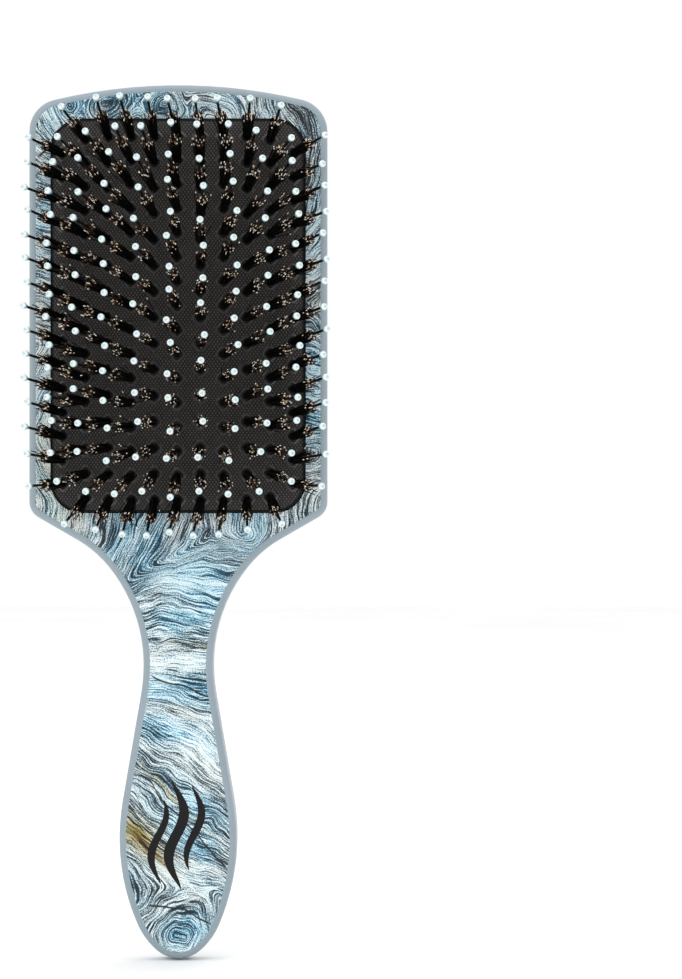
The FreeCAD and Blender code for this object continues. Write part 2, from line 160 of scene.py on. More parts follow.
class Graph:
    """A material's node tree. A number, a tuple or another node's socket can stand for any input."""

    def __init__(self, name):
        self.material = bpy.data.materials.new(name)
        self.material.use_nodes = True
        self.tree = self.material.node_tree
        self.shader = self.tree.nodes["Principled BSDF"]
        self.place = self.node("ShaderNodeTexCoord").outputs["Object"]

    def feed(self, socket, value):
        if isinstance(value, bpy.types.NodeSocket):
            self.tree.links.new(value, socket)
        else:
            socket.default_value = value

    def node(self, kind, inputs=(), **settings):
        made = self.tree.nodes.new(kind)
        for name, value in settings.items():
            setattr(made, name, value)
        for key, value in dict(inputs).items():
            self.feed(made.inputs[key], value)
        return made

    def set(self, **inputs):
        """Sets the shader's inputs, by their names with underscores for spaces."""
        for name, value in inputs.items():
            self.feed(self.shader.inputs[name.replace("_", " ")], value)

    def math(self, operation, *values, clamp=False):
        made = self.node("ShaderNodeMath", enumerate(values), operation=operation, use_clamp=clamp)
        return made.outputs[0]

    def vector(self, x, y, z):
        return self.node("ShaderNodeCombineXYZ", {"X": x, "Y": y, "Z": z}).outputs[0]

    def split(self, vector):
        return self.node("ShaderNodeSeparateXYZ", {"Vector": vector}).outputs

    def vector_math(self, operation, vector, other):
        """Adds, subtracts or scales a vector. SCALE takes a number for other."""
        made = self.node("ShaderNodeVectorMath", {0: vector}, operation=operation)
        self.feed(made.inputs["Scale" if operation == "SCALE" else 1], other)
        return made.outputs[0]

    def dot(self, vector, other):
        made = self.node("ShaderNodeVectorMath", {0: vector, 1: other}, operation="DOT_PRODUCT")
        return made.outputs["Value"]

    def noise(self, vector, scale, detail=2.0, roughness=0.5, output="Fac"):
        inputs = {"Vector": vector, "Scale": scale, "Detail": detail, "Roughness": roughness}
        return self.node("ShaderNodeTexNoise", inputs).outputs[output]

    def fade(self, value, low, high, start=0.0, end=1.0):
        """A smooth step of value from low to high, mapped to start and end."""
        inputs = {"Value": value, "From Min": low, "From Max": high, "To Min": start, "To Max": end}
        made = self.node("ShaderNodeMapRange", inputs, interpolation_type="SMOOTHSTEP")
        return made.outputs["Result"]

    def ramp(self, value, stops):
        made = self.node("ShaderNodeValToRGB", {"Fac": value})
        band = made.color_ramp.elements
        while len(band) < len(stops):
            band.new(1.0)
        for element, (position, colour) in zip(band, stops):
            element.position = position
            element.color = colour
        return made.outputs["Color"]

    def mix(self, factor, first, second, blend="MIX"):
        inputs = {0: factor, 6: first, 7: second}
        return self.node("ShaderNodeMix", inputs, data_type="RGBA", blend_type=blend).outputs[2]

    def bump(self, height, distance, strength=1.0):
        inputs = {"Height": height, "Distance": distance, "Strength": strength}
        self.set(Normal=self.node("ShaderNodeBump", inputs).outputs["Normal"])


# ---------------------------------------------------------------- the wood grain print
# Places on the print are (across, along) in mm, as seen from outside. On the back film 0, 0 is behind the
# cushion's middle, and on the front film the whole print is moved by FRONT_SHIFT.
# Knots: (across, along, half length of the core, stretch, tilt in degrees, rings before it meets others).
KNOTS = [
    (-31.0, 58.5, 0.0, 1.0, 0, 3.0),
    (-29.4, 51.4, 0.0, 0.8, 0, 6.5),
    (-19.6, 58.8, 0.6, 0.8, 80, 0.5),
    (-5.3, 56.1, 0.5, 0.8, 75, 1.0),
    (9.4, 50.4, 1.6, 1.3, 18, 2.0),
    (17.5, -59.0, 9.5, 1.4, -3, 8.0),
    (10.5, -41.5, 0.0, 1.0, 0, 15.5),
    (35.0, -40.4, 1.0, 1.0, 75, 17.0),
]
TIP_KNOT = (-0.5, -178.4, 1.6, 0.75, 82, 114.0)
# Pushes bend the grain: (across, along, half width, half length, tilt, shift across, shift along).
PUSHES = [
    (-33.0, -36.0, 12.0, 11.0, 0, 6.0, 0.0),
    (-33.0, -60.0, 12.0, 12.0, 0, -6.0, 0.0),
    (-8.0, -82.0, 15.0, 12.0, 0, 10.0, 0.0),
    (-16.0, 2.0, 7.0, 6.0, 30, 0.0, -4.0),
    (33.0, -36.0, 7.0, 5.0, 0, 0.0, 4.0),
    (-5.0, -89.0, 6.0, 6.0, 0, 0.0, -1.8),
]
# Broad washes: (across, along, half width, half length, tilt, tone added in the middle).
WASHES = [
    (37.0, 50.0, 7.0, 14.0, 12, -0.42),
    (22.0, 61.0, 12.0, 4.0, -20, -0.20),
    (-19.6, 58.8, 3.6, 2.4, 0, -0.75),
    (-31.0, 59.0, 6.0, 4.5, 0, -0.26),
    (-5.3, 56.1, 3.6, 2.2, -20, -0.62),
    (-5.3, 55.0, 8.0, 5.5, 0, -0.15),
    (15.0, 51.0, 3.0, 8.0, 12, 0.16),
    (-14.0, 46.0, 16.0, 3.0, 0, 0.10),
    (-10.0, 37.0, 26.0, 2.6, -2, -0.28),
    (24.0, 29.0, 9.0, 3.0, 12, -0.42),
    (-37.0, 27.0, 6.0, 2.4, 40, -0.36),
    (-4.0, 17.0, 30.0, 8.0, 0, 0.34),
    (-27.0, 10.0, 6.0, 7.0, -40, -0.30),
    (3.0, 6.0, 24.0, 4.5, 0, 0.34),
    (33.0, 2.0, 12.0, 2.6, 10, -0.38),
    (20.0, -8.0, 20.0, 3.5, 0, -0.24),
    (10.0, -14.5, 14.0, 3.0, 8, 0.36),
    (-15.0, -14.0, 3.4, 10.0, -28, -0.40),
    (-33.0, -12.0, 7.0, 14.0, -30, 0.26),
    (-33.0, -46.0, 6.0, 12.0, 15, 0.36),
    (24.0, -30.0, 20.0, 2.6, -5, -0.42),
    (0.0, -37.0, 3.0, 10.0, -25, -0.45),
    (-4.0, -50.0, 2.6, 9.0, 5, -0.34),
    (-25.0, -54.0, 2.6, 15.0, 22, -0.30),
    (16.5, -52.0, 2.6, 10.0, 5, -0.30),
    (-13.0, -74.0, 6.0, 11.0, -32, -0.30),
    (17.0, -74.0, 11.0, 2.6, 15, -0.26),
    (5.0, -79.0, 10.0, 4.5, 0, 0.36),
    (0.0, -88.5, 13.0, 3.2, 0, -0.20),
    (6.0, -96.0, 9.0, 1.1, -6, -0.34),
    (0.0, -101.5, 12.0, 3.4, -6, 0.34),
    (6.0, -108.5, 7.0, 2.6, -12, -0.42),
    (0.0, -115.0, 9.0, 2.0, -20, 0.14),
    (-8.0, -120.5, 7.0, 1.8, -22, -0.50),
    (5.0, -127.0, 4.4, 11.0, 48, 0.45),
    (-6.0, -132.5, 10.0, 1.6, -35, -0.26),
    (9.0, -145.0, 10.0, 4.0, -38, -0.20),
    (7.0, -154.5, 8.0, 1.7, -42, -0.52),
    (-2.0, -163.0, 10.0, 4.5, -15, 0.34),
    (3.0, -172.5, 11.0, 1.4, -18, -0.34),
    (-0.5, -178.5, 4.5, 2.6, 0, -0.34),
]
# Where the grain turns blue: (across, along, half width, half length, tilt, strength).
BLUES = [
    (-31.0, 58.0, 7.0, 5.0, 0, 0.7),
    (-14.0, 58.0, 9.0, 5.0, 0, 0.6),
    (-10.0, 36.0, 26.0, 4.0, -3, 0.55),
    (23.0, 29.0, 10.0, 4.0, 10, 0.8),
    (-37.0, 27.0, 7.0, 3.5, 40, 1.0),
    (-20.0, 20.0, 12.0, 6.0, -10, 0.7),
    (22.0, -31.0, 24.0, 4.0, -4, 1.0),
    (34.0, -18.0, 12.0, 7.0, 0, 0.7),
    (2.0, -42.0, 7.0, 16.0, -18, 0.9),
    (18.0, -60.0, 8.0, 16.0, 0, 0.7),
    (-14.0, -70.0, 10.0, 12.0, -30, 0.6),
    (6.0, -78.0, 16.0, 9.0, 0, 0.95),
    (0.0, -89.0, 14.0, 5.0, 0, 0.9),
    (0.0, -109.0, 12.0, 4.0, -8, 0.9),
    (-7.0, -120.0, 9.0, 4.0, -22, 1.0),
    (2.0, -138.0, 14.0, 4.0, -38, 0.6),
    (0.0, -151.0, 12.0, 3.0, -40, 0.5),
    (-0.5, -178.0, 8.0, 5.0, 0, 0.9),
]
# Warm stains: (across, along, half width, half length, tilt, strength).
STAINS = [
    (-12.5, -151.0, 8.0, 3.8, -40, 1.0),
    (-9.0, -155.0, 9.0, 1.1, -42, 1.0),
    (-3.0, -139.0, 12.0, 0.9, -45, 0.55),
    (-11.5, 11.5, 1.6, 0.9, -20, 0.9),
    (31.0, 17.0, 4.0, 1.2, 45, 0.5),
    (27.0, 1.5, 14.0, 2.0, 3, 0.35),
    (-20.0, -8.0, 10.0, 18.0, -20, 0.18),
    (-36.0, -50.0, 6.0, 16.0, 15, 0.30),
    (6.0, -97.0, 7.0, 0.8, -6, 0.5),
]
# Burns, in the same form as stains.
BURNS = [(-10.5, -153.5, 7.0, 0.9, -45, 1.0), (-13.5, -151.0, 3.5, 1.6, -45, 0.7)]
# Cracks: points from left to right, each (across, along).
CRACKS = [
    [(-29, 37.5), (-24, 39.8), (-19, 43), (-13.6, 42.2), (-4.3, 40.8), (2.3, 42.2), (11, 39.2),
     (16.4, 40)],
    [(-41.5, 42.0), (-38.0, 45.5), (-36.0, 49.5), (-34.3, 50.9)],
    [(-18.8, 3.0), (-15.2, -2.6), (-5.4, -4.6), (7.7, -1.6), (20.3, -2.7), (28.5, -3.3), (41, -0.3)],
    [(12, -28), (20, -28.2), (28.5, -29.8), (34, -28.6), (41, -26.2)],
    [(-9.5, -105.0), (-5.0, -107.5), (2.0, -109.0), (6.0, -111.0), (9.7, -112.2)],
    [(-13, -133.4), (-8.5, -136.0), (-6.4, -139.8), (-1.0, -145.0), (5.1, -151.2), (9.0, -156.5),
     (13.5, -161.2)],
    [(-10.2, -171), (-4.0, -172.0), (1.0, -172.5), (5.0, -175.0), (8.9, -176.5)],
]
CRACK_HALF_WIDTH = 0.12
CRACK_BLUR = 0.25
CRACK_TAPER = 1.5
WASH_STRENGTH = 0.80
FRONT_SHIFT = (1.0, 2.9)     # how far across and along the front print sits from the back one, in mm
BACK_SHIFT = (0.0, 0.0)
KNOT_MERGE = 5.0             # over how many mm the rings of neighbouring knots melt into one flow
TIP_MERGE = 6.0
HANDLE_START = -40.0         # where the handle's own lines start counting, along the print
HEAD_ENDS = (-71.0, -82.0)   # where the rings of the head give way to the handle's lines
HEAD_END_SLOPE = 0.78        # that border is lower on the left
HEAD_END_LIMIT = 8.0         # and level from this far to the right
# Where the handle's lines start to slant and where they level out: (from, to, share before, share after).
SLANT_STARTS = (-100.0, -120.0, 0.0, 0.72)
SLANT_ENDS = (-158.0, -172.0, 1.0, 0.25)
# Wobbles of the whole print: (cycles per mm, detail, how far it moves in mm).
SLOW_WOBBLE = (0.045, 0.0, 8.0)
QUICK_WOBBLE = (0.13, 1.0, 3.8)
WASH_WOBBLE = 3.0            # how far the quick wobble moves the washes
CRACK_WOBBLE = 1.2           # and the cracks
# Noises drawn out along the grain: (cycles per mm across the lines and along them, detail, roughness).
BANDS = (0.30, 0.05, 2.0, 0.6)
STROKES = (2.5, 0.10, 1.0, 0.6)
HAIRLINES = (5.6, 0.26, 1.0, 0.5)
DRIFT = (0.10, 0.05, 2.0, 0.6)
# Noises that ignore the grain: (cycles per mm, detail, roughness).
PATCHES = (0.16, 2.0, 0.6)
SPECKS = (2.6, 1.0, 0.6)
GREY_SHADES = [
    (0.00, srgb(28, 34, 38)),
    (0.22, srgb(64, 76, 84)),
    (0.45, srgb(124, 140, 147)),
    (0.68, srgb(194, 209, 212)),
    (0.95, srgb(236, 243, 242)),
]
BLUE_SHADES = [
    (0.00, srgb(20, 48, 62)),
    (0.22, srgb(40, 96, 126)),
    (0.45, srgb(90, 156, 184)),
    (0.68, srgb(170, 215, 229)),
    (0.95, srgb(226, 243, 248)),
]
STAIN_COLOUR = srgb(232, 196, 92)
BURN_COLOUR = srgb(112, 78, 48)
CRACK_COLOUR = srgb(22, 34, 36)


def own_axes(g, place, across, along, tilt):
    """How far a place is from a spot, along the spot's own two axes."""
    cosine, sine = math.cos(math.radians(tilt)), math.sin(math.radians(tilt))
    return [
        g.math("SUBTRACT", g.dot(place, (first, second, 0.0)), first * across + second * along)
        for first, second in ((cosine, sine), (-sine, cosine))
    ]


def blob(g, place, across, along, width, length, tilt):
    """1 in the middle of a slanted oval, fading to nothing around it."""
    x, y = own_axes(g, place, across, along, tilt)
    x = g.math("DIVIDE", x, width)
    y = g.math("DIVIDE", y, length)
    squared = g.math("MULTIPLY_ADD", y, y, g.math("MULTIPLY", x, x))
    return g.math("POWER", math.exp(-1.0), squared)


def strongest(g, place, spots):
    """How strongly the strongest of these ovals covers a place."""
    found = None
    for *spot, strength in spots:
        one = g.math("MULTIPLY", blob(g, place, *spot), strength)
        found = one if found is None else g.math("MAXIMUM", found, one)
    return found


def rings(g, place, knot):
    """The number of rings between a place and the core of a knot."""
    across, along, core, stretch, tilt, start = knot
    x, y = own_axes(g, place, across, along, tilt)
    y = g.math("MAXIMUM", g.math("SUBTRACT", g.math("ABSOLUTE", y), core), 0.0)
    y = g.math("DIVIDE", y, stretch)
    distance = g.math("SQRT", g.math("MULTIPLY_ADD", y, y, g.math("MULTIPLY", x, x)))
    return g.math("ADD", distance, start)


def grain_field(g, place):
    """A number that is constant along each line of the grain and grows by about 1 per mm across it."""
    head = None
    for knot in KNOTS:
        ring = rings(g, place, knot)
        head = ring if head is None else g.math("SMOOTH_MIN", head, ring, KNOT_MERGE)
    across, along, _ = g.split(place)
    slant = g.math("MULTIPLY", g.fade(along, *SLANT_STARTS), g.fade(along, *SLANT_ENDS))
    handle = g.math("SUBTRACT", HANDLE_START, g.math("ADD", along, g.math("MULTIPLY", slant, across)))
    handle = g.math("SMOOTH_MIN", handle, rings(g, place, TIP_KNOT), TIP_MERGE)
    rise = g.math("MULTIPLY", g.math("MINIMUM", across, HEAD_END_LIMIT), HEAD_END_SLOPE)
    share = g.fade(g.math("SUBTRACT", along, rise), *HEAD_ENDS)
    head = g.math("MULTIPLY", head, g.math("SUBTRACT", 1.0, share))
    return g.math("ADD", head, g.math("MULTIPLY", handle, share))


def crack(g, place, points):
    """1 on a crack through the points, and 0 beside it."""
    across, along, _ = g.split(place)
    first, last = points[0][0], points[-1][0]
    levels = [level for _, level in points]
    low, high = min(levels), max(levels)
    span = {"Value": across, "From Min": first, "From Max": last}
    share = g.node("ShaderNodeMapRange", span).outputs["Result"]
    course = g.node("ShaderNodeFloatCurve", {"Value": share})
    curve = course.mapping.curves[0]
    for x, level in points[1:-1]:
        curve.points.new((x - first) / (last - first), (level - low) / (high - low))
    curve.points[0].location = (0.0, (levels[0] - low) / (high - low))
    curve.points[len(points) - 1].location = (1.0, (levels[-1] - low) / (high - low))
    course.mapping.update()
    middle = g.math("MULTIPLY_ADD", course.outputs[0], high - low, low)
    steepness = math.hypot(1.0, (levels[-1] - levels[0]) / (last - first))
    gap = g.math("DIVIDE", g.math("ABSOLUTE", g.math("SUBTRACT", along, middle)), steepness)
    inside = g.fade(gap, CRACK_HALF_WIDTH, CRACK_HALF_WIDTH + CRACK_BLUR, 1.0, 0.0)
    left_end = g.fade(across, first, first + CRACK_TAPER)
    right_end = g.fade(across, last, last - CRACK_TAPER)
    return g.math("MULTIPLY", inside, g.math("MULTIPLY", left_end, right_end))


def wobble(g, flat, scale, detail):
    """A direction that changes smoothly from place to place."""
    return g.vector_math("SUBTRACT", g.noise(flat, scale, detail, 0.5, "Color"), (0.5, 0.5, 0.5))


def bent_places(g, flat):
    """The places on the print after the pushes and both wobbles, and the quick wobble itself."""
    place = flat
    for *spot, shift_across, shift_along in PUSHES:
        push = g.node("ShaderNodeVectorMath", {0: (shift_across, shift_along, 0.0)}, operation="SCALE")
        g.feed(push.inputs["Scale"], blob(g, flat, *spot))
        place = g.vector_math("ADD", place, push.outputs[0])
    slow = wobble(g, flat, *SLOW_WOBBLE[:2])
    quick = wobble(g, flat, *QUICK_WOBBLE[:2])
    place = g.vector_math("ADD", place, g.vector_math("SCALE", slow, SLOW_WOBBLE[2]))
    place = g.vector_math("ADD", place, g.vector_math("SCALE", quick, QUICK_WOBBLE[2]))
    return place, quick


def along_grain(g, lines, ring_scale, line_scale, detail, roughness):
    """Noise that changes quickly from line to line and slowly along each of them."""
    scales = (ring_scale, line_scale, line_scale)
    inputs = [g.math("MULTIPLY", value, scale) for value, scale in zip(lines, scales)]
    return g.noise(g.vector(*inputs), 1.0, detail, roughness)


def grain_tone(g, flat, soft, lines):
    """How pale the print is, from about 0 to 1, and the strokes and specks in it."""
    bands = along_grain(g, lines, *BANDS)
    strokes = along_grain(g, lines, *STROKES)
    hairlines = along_grain(g, lines, *HAIRLINES)
    patches = g.noise(flat, *PATCHES)
    specks = g.noise(flat, *SPECKS)

    tone = g.fade(bands, 0.30, 0.70, 0.68, 0.92)
    for *spot, change in WASHES:
        tone = g.math("ADD", tone, g.math("MULTIPLY", blob(g, soft, *spot), change * WASH_STRENGTH))
    depth_by_tone = g.fade(tone, 0.55, 1.15, 0.68, 0.20)
    depth = g.math("ADD", depth_by_tone, g.fade(patches, 0.35, 0.65, -0.14, 0.14))
    dark_lines = g.math("MULTIPLY", g.fade(strokes, 0.48, 0.42), depth)
    pale_lines = g.fade(strokes, 0.53, 0.59, 0.0, 0.20)
    tone = g.math("ADD", g.math("SUBTRACT", tone, dark_lines), pale_lines)
    tone = g.math("ADD", tone, g.fade(hairlines, 0.40, 0.60, -0.34, 0.14))
    tone = g.math("ADD", tone, g.fade(specks, 0.40, 0.60, -0.30, 0.12))
    return tone, strokes, specks


def print_colour(g, tone, soft, lines):
    """Greys that turn blue in the blue ovals and here and there along the grain."""
    greys = g.ramp(tone, GREY_SHADES)
    blues = g.ramp(tone, BLUE_SHADES)
    drift = along_grain(g, lines, *DRIFT)
    covered = strongest(g, soft, BLUES)
    here_and_there = g.fade(drift, 0.35, 0.65, -0.05, 0.55)
    blueness = g.math("ADD", covered, here_and_there, clamp=True)
    return g.mix(blueness, greys, blues)


def print_material(name, side, shift):
    """Weathered wood grain. The rings of all knots merge into one flow. side is 1 in front and -1 behind."""
    g = Graph(name)
    x, _, z = g.split(g.place)
    flat_across = g.math("MULTIPLY_ADD", x, side / MM, -shift[0])
    flat_along = g.math("MULTIPLY_ADD", z, 1 / MM, -shift[1])
    flat = g.vector(flat_across, flat_along, 0.0)
    place, quick = bent_places(g, flat)
    soft = g.vector_math("ADD", flat, g.vector_math("SCALE", quick, WASH_WOBBLE))
    grain = grain_field(g, place)
    across, along, _ = g.split(place)
    lines = (grain, across, along)
    tone, strokes, specks = grain_tone(g, flat, soft, lines)
    colour = print_colour(g, tone, soft, lines)

    for spots, shade in ((STAINS, STAIN_COLOUR), (BURNS, BURN_COLOUR)):
        stained = g.mix(1.0, colour, shade, "MULTIPLY")
        colour = g.mix(strongest(g, soft, spots), colour, stained)
    wavering = g.vector_math("ADD", flat, g.vector_math("SCALE", quick, CRACK_WOBBLE))
    for points in CRACKS:
        colour = g.mix(crack(g, wavering, points), colour, CRACK_COLOUR)

    g.set(Base_Color=colour, Roughness=g.fade(specks, 0.3, 0.7, 0.36, 0.48))
    g.set(Coat_Weight=0.12, Coat_Roughness=0.3, Specular_IOR_Level=0.25)
    g.bump(strokes, 0.02 * MM, 0.6)
    return g.material


# ---------------------------------------------------------------- other materials
def shell_material():
    """Satin grey-blue moulded plastic, with a fine dark line where the two shells meet."""
    g = Graph("shell_plastic")
    cloud = g.noise(g.place, 60.0, 3.0)
    pores = g.noise(g.place, 2600.0, 2.0)
    plastic = g.ramp(cloud, [(0.3, srgb(141, 156, 164)), (0.7, srgb(148, 163, 171))])
    _, depth, _ = g.split(g.place)
    off_seam = g.math("ABSOLUTE", g.math("ADD", depth, PARTING_HEIGHT))
    seam = g.fade(off_seam, SEAM_HALF_WIDTH, 2.5 * SEAM_HALF_WIDTH, 1.0, 0.0)
    g.set(Base_Color=g.mix(seam, plastic, srgb(84, 94, 100)))
    g.set(Roughness=g.fade(pores, 0.3, 0.7, 0.36, 0.46), Specular_IOR_Level=0.35)
    g.bump(pores, 0.015 * MM, 0.5)
    return g.material


def past_window_line(g):
    """How far a place is past the window's outline, below 0 inside it."""
    x, _, z = g.split(g.place)
    past_x = g.math("SUBTRACT", g.math("ABSOLUTE", x), WINDOW_HALF_WIDTH - WINDOW_CORNER)
    past_z = g.math("SUBTRACT", g.math("ABSOLUTE", z), WINDOW_HALF_HEIGHT - WINDOW_CORNER)
    round_x = g.math("MAXIMUM", past_x, 0.0)
    round_z = g.math("MAXIMUM", past_z, 0.0)
    squared = g.math("MULTIPLY_ADD", round_x, round_x, g.math("MULTIPLY", round_z, round_z))
    straight = g.math("MINIMUM", g.math("MAXIMUM", past_x, past_z), 0.0)
    return g.math("SUBTRACT", g.math("ADD", g.math("SQRT", squared), straight), WINDOW_CORNER)


def cushion_material():
    """Charcoal rubber with slanted rows of fine dots whose pale tops are painted highlights, and painted
    black shade where it dips into the gap round it.
    """
    g = Graph("cushion_rubber")
    rows = []
    for tilt in (DOT_ROWS_TILT, -DOT_ROWS_TILT):
        heading = (math.cos(math.radians(tilt)), 0.0, math.sin(math.radians(tilt)))
        turns = g.math("MULTIPLY", g.dot(g.place, heading), math.tau / DOT_PITCH)
        rows.append(g.math("SINE", turns))
    dots = g.fade(g.math("ADD", rows[0], rows[1]), 0.3, 1.6)
    cloud = g.noise(g.place, 160.0, 4.0, 0.6)
    dot_paleness_noise = g.noise(g.place, 3000.0, 1.0)
    base = g.ramp(cloud, [(0.3, srgb(32, 31, 30)), (0.7, srgb(44, 42, 41))])
    # Painted highlight: the dots' tops are mixed towards a pale grey, unevenly from dot to dot; their relief
    # is the bump.
    shine = g.math("MULTIPLY", dots, g.fade(dot_paleness_noise, 0.3, 0.7, 0.45, 0.95))
    lit = g.mix(shine, base, srgb(100, 97, 94))
    # Painted shade: the cushion turns black where it dips into the gap round the window.
    shadow = g.fade(past_window_line(g), -1.5 * BORDER_SHADOW, -BORDER_SHADOW)
    g.set(Base_Color=g.mix(shadow, lit, srgb(6, 6, 6)), Roughness=0.65, Specular_IOR_Level=0.2)
    g.bump(dots, 0.06 * MM, 0.9)
    return g.material


def collar_material():
    """The smooth lips round the holes, a little paler than the cushion."""
    g = Graph("collar_rubber")
    wear = g.noise(g.place, 900.0, 3.0)
    g.set(Base_Color=g.ramp(wear, [(0.3, srgb(38, 37, 36)), (0.7, srgb(60, 58, 56))]))
    g.set(Roughness=0.32)
    g.bump(wear, 0.02 * MM, 0.5)
    return g.material


def bristle_material():
    """Black hairs with ends from black to cream. The mesh says how far along a hair, and which hue."""
    g = Graph("bristle")
    along = g.node("ShaderNodeAttribute", attribute_name="along").outputs["Fac"]
    hue = g.node("ShaderNodeAttribute", attribute_name="hue").outputs["Fac"]
    tip = g.ramp(hue, [
        (0.00, srgb(24, 20, 18)),
        (0.48, srgb(84, 60, 42)),
        (0.58, srgb(206, 164, 122)),
        (0.68, srgb(240, 226, 204)),
        (1.00, srgb(255, 252, 246)),
    ])
    dark = g.ramp(hue, [(0.0, srgb(10, 9, 9)), (1.0, srgb(22, 20, 18))])
    tip_share = g.fade(along, HAIR_RINGS[-3], HAIR_RINGS[-2])
    g.set(Base_Color=g.mix(tip_share, dark, tip), Roughness=0.45, Specular_IOR_Level=0.15)
    return g.material


def pin_material():
    """Black nylon with a soft gloss."""
    g = Graph("pin_nylon")
    streak = g.noise(g.place, 1500.0, 2.0)
    g.set(Base_Color=g.ramp(streak, [(0.3, srgb(10, 10, 10)), (0.7, srgb(18, 17, 17))]))
    g.set(Roughness=g.fade(streak, 0.3, 0.7, 0.26, 0.36), Specular_IOR_Level=0.3)
    return g.material


def tip_material():
    """Milky aqua resin with a white ring round the end that is a painted highlight, the bright rim of the
    translucent ball, placed by the mesh's own turn value.
    """
    g = Graph("pin_tip")
    turn = g.node("ShaderNodeAttribute", attribute_name="turn").outputs["Fac"]
    # The white band from turn 0.19 to 0.38 is a painted highlight: the bright rim that the translucent ball
    # shows round its end.
    g.set(Base_Color=g.ramp(turn, [
        (0.12, srgb(180, 208, 211)),
        (0.19, srgb(226, 239, 240)),
        (0.38, srgb(226, 239, 240)),
        (0.52, srgb(190, 217, 220)),
        (1.00, srgb(160, 196, 200)),
    ]))
    g.set(Roughness=0.18, Subsurface_Weight=0.35, Subsurface_Scale=0.6 * MM)
    g.set(Coat_Weight=0.4, Coat_Roughness=0.08)
    return g.material


def plain_dark_material():
    """Black nylon of the plugs and the clamp frame, which hardly show."""
    g = Graph("plain_nylon")
    cloud = g.noise(g.place, 500.0, 3.0)
    g.set(Base_Color=g.ramp(cloud, [(0.3, srgb(24, 23, 23)), (0.7, srgb(36, 35, 34))]), Roughness=0.5)
    g.bump(cloud, 0.02 * MM, 0.4)
    return g.material


def emblem_material():
    """Black ink, printed on the film."""
    g = Graph("emblem_ink")
    cloud = g.noise(g.place, 1800.0, 3.0)
    g.set(Base_Color=g.ramp(cloud, [(0.3, srgb(12, 12, 13)), (0.7, srgb(20, 20, 22))]), Roughness=0.45)
    g.set(Specular_IOR_Level=0.2)
    return g.material


def paint(node, material):
    """Gives a CAD node this material on all its slots."""
    slots = frame["nodes"][node].data.materials
    if not slots:
        slots.append(material)
    for index in range(len(slots)):
        slots[index] = material


# ---------------------------------------------------------------- meshes
def new_piece(name, points, faces, material):
    """A smooth mesh object with one material."""
    mesh = bpy.data.meshes.new(name)
    mesh.from_pydata([tuple(p) for p in points], [], faces)
    mesh.materials.append(material)
    mesh.polygons.foreach_set("use_smooth", [True] * len(mesh.polygons))
    mesh.update()
    piece = bpy.data.objects.new(name, mesh)
    bpy.context.scene.collection.objects.link(piece)
    return piece


def mark(piece, name, values):
    """Stores a number for each vertex, which the piece's material reads."""
    piece.data.attributes.new(name, "FLOAT", "POINT").data.foreach_set("value", values)


def parts_of(node):
    """The vertices of each separate solid in a CAD node."""
    mesh = frame["nodes"][node].data
    places = np.array([v.co for v in mesh.vertices])
    _, same = np.unique(np.round(places, 7), axis=0, return_inverse=True)
    same = same.reshape(-1)
    group = np.arange(same.max() + 1)
    edges = same[np.array([e.vertices for e in mesh.edges])]
    while True:
        low = np.minimum(group[edges[:, 0]], group[edges[:, 1]])
        before = group.copy()
        np.minimum.at(group, edges[:, 0], low)
        np.minimum.at(group, edges[:, 1], low)
        group = group[group]
        if (group == before).all():
            break
    found = group[same]
    return [places[found == g] for g in np.unique(found)]


def axes_of(node):
    """For each rod-like solid in a node: its foot on the cushion's side, its direction and its length."""
    rods = []
    for places in parts_of(node):
        middle = places.mean(0)
        direction = np.linalg.svd(places - middle, full_matrices=False)[2][0]
        direction = direction * (-1 if direction[1] > 0 else 1)
        reach = (places - middle) @ direction
        rods.append((Vector(middle + direction * reach.min()), Vector(direction), float(np.ptp(reach))))
    return rods


def across_axis(direction):
    """Two directions at right angles to this one."""
    first = direction.cross(Vector((0, 0, 1))).normalized()
    return first, direction.cross(first).normalized()


def circle(centre, first, second, radius, sides):
    """Points on a circle in the plane of two directions."""
    angles = [math.tau * side / sides for side in range(sides)]
    return [
        centre + first * math.cos(angle) * radius + second * math.sin(angle) * radius
        for angle in angles
    ]


def ring_faces(start, sides, count, inside_out=False):
    """The faces between neighbouring rings of points: count rings of so many sides, from index start on."""
    faces = []
    for ring in range(count - 1):
        for side in range(sides):
            here = start + ring * sides + side
            beside = start + ring * sides + (side + 1) % sides
            if inside_out:
                faces.append((here, here + sides, beside + sides, beside))
            else:
                faces.append((here, beside, beside + sides, here + sides))
    return faces


# ---------------------------------------------------------------- cushion
def cushion_y(x, z):
    """The cushion's surface, with rounded shoulders where it dips into the gap round the window."""
    across = 1 - min(abs(x) / (WINDOW_HALF_WIDTH + WINDOW_GAP), 1) ** CROWN_POWERS[0]
    along = 1 - min(abs(z) / (WINDOW_HALF_HEIGHT + WINDOW_GAP), 1) ** CROWN_POWERS[1]
    return FRONT - CUSHION_EDGE - CUSHION_CROWN * across * along


def window_line():
    """Points all round the window's outline, from the upper end of its right side."""
    middle_x = WINDOW_HALF_WIDTH - WINDOW_CORNER
    middle_z = WINDOW_HALF_HEIGHT - WINDOW_CORNER
    middles = [(middle_x, middle_z), (-middle_x, middle_z), (-middle_x, -middle_z), (middle_x, -middle_z)]
    line = []
    for quarter, (x, z) in enumerate(middles):
        for step in range(CORNER_STEPS + 1):
            angle = math.pi / 2 * (quarter + step / CORNER_STEPS)
            line.append((x + WINDOW_CORNER * math.cos(angle), z + WINDOW_CORNER * math.sin(angle)))
        start = line[-1]
        next_x, next_z = middles[(quarter + 1) % 4]
        turn = math.pi / 2 * (quarter + 1)
        end = (next_x + WINDOW_CORNER * math.cos(turn), next_z + WINDOW_CORNER * math.sin(turn))
        for step in range(1, SIDE_STEPS):
            share = step / SIDE_STEPS
            line.append((start[0] + (end[0] - start[0]) * share, start[1] + (end[1] - start[1]) * share))
    return line


